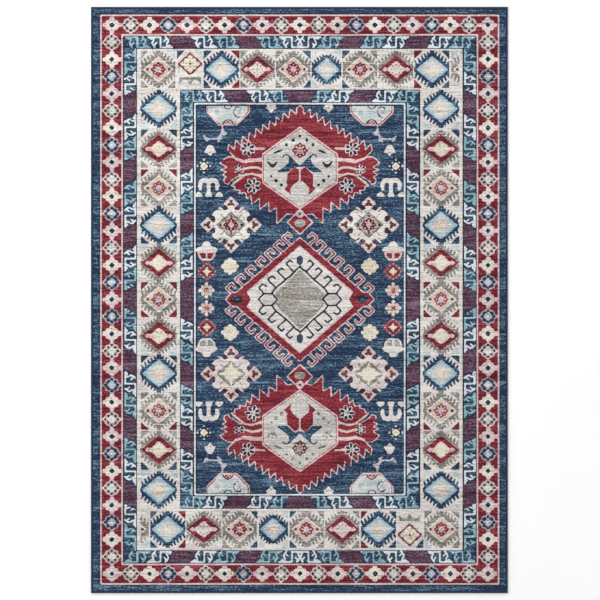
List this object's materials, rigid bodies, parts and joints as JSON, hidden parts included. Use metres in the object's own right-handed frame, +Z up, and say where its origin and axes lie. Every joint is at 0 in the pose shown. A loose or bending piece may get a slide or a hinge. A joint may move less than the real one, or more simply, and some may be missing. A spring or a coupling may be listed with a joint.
{
  "type": "area rug",
  "caption": "Rectangular cut-pile area rug with bordered geometric medallion pattern, latex-coated woven ground and yarn-serged edges over a filler cord.",
  "frame": {"origin": "centre of the underside, on the floor", "axes": "+Z up out of the pile, +Y along the rug's length, +X across it"},
  "size_m": [1.6, 2.25, 0.01],
  "materials": {
    "latex_back": "matte latex skim over the back of the weave",
    "ground_yarn": "plain woven jute and cotton ground",
    "serging_yarn": "navy serging yarn, wrapped side by side",
    "cord_yarn": "twisted cotton filler cord",
    "label_cloth": "blank woven satin label",
    "label_thread": "fine sewing thread",
    "navy_pile": "navy cut pile with lighter cross streaks",
    "crimson_pile": "crimson cut pile with darker cross streaks",
    "ivory_pile": "ivory cut pile",
    "blush_pile": "pinkish ivory cut pile",
    "ink_pile": "near-black blue cut pile",
    "sky_pile": "light blue cut pile",
    "aqua_pile": "pale aqua cut pile",
    "tan_pile": "pale tan cut pile",
    "grey_pile": "warm grey cut pile, streaked lighter",
    "taupe_pile": "brown-red cut pile",
    "plum_pile": "plum cut pile, mottled"
  },
  "bodies": {
    "root": {"latex_coating": "latex_back", "ground_weave": "ground_yarn", "care_label": "label_cloth", "label_stitching": "label_thread", "serging_right": "serging_yarn", "edge_cord_right": "cord_yarn", "serging_top": "serging_yarn", "edge_cord_top": "cord_yarn", "serging_left": "serging_yarn", "edge_cord_left": "cord_yarn", "serging_bottom": "serging_yarn", "edge_cord_bottom": "cord_yarn", "pile_navy": "navy_pile", "pile_crimson": "crimson_pile", "pile_ivory": "ivory_pile", "pile_blush": "blush_pile", "pile_ink": "ink_pile", "pile_sky": "sky_pile", "pile_aqua": "aqua_pile", "pile_tan": "tan_pile", "pile_grey": "grey_pile", "pile_taupe": "taupe_pile", "pile_plum": "plum_pile"}
  },
  "joints": []
}
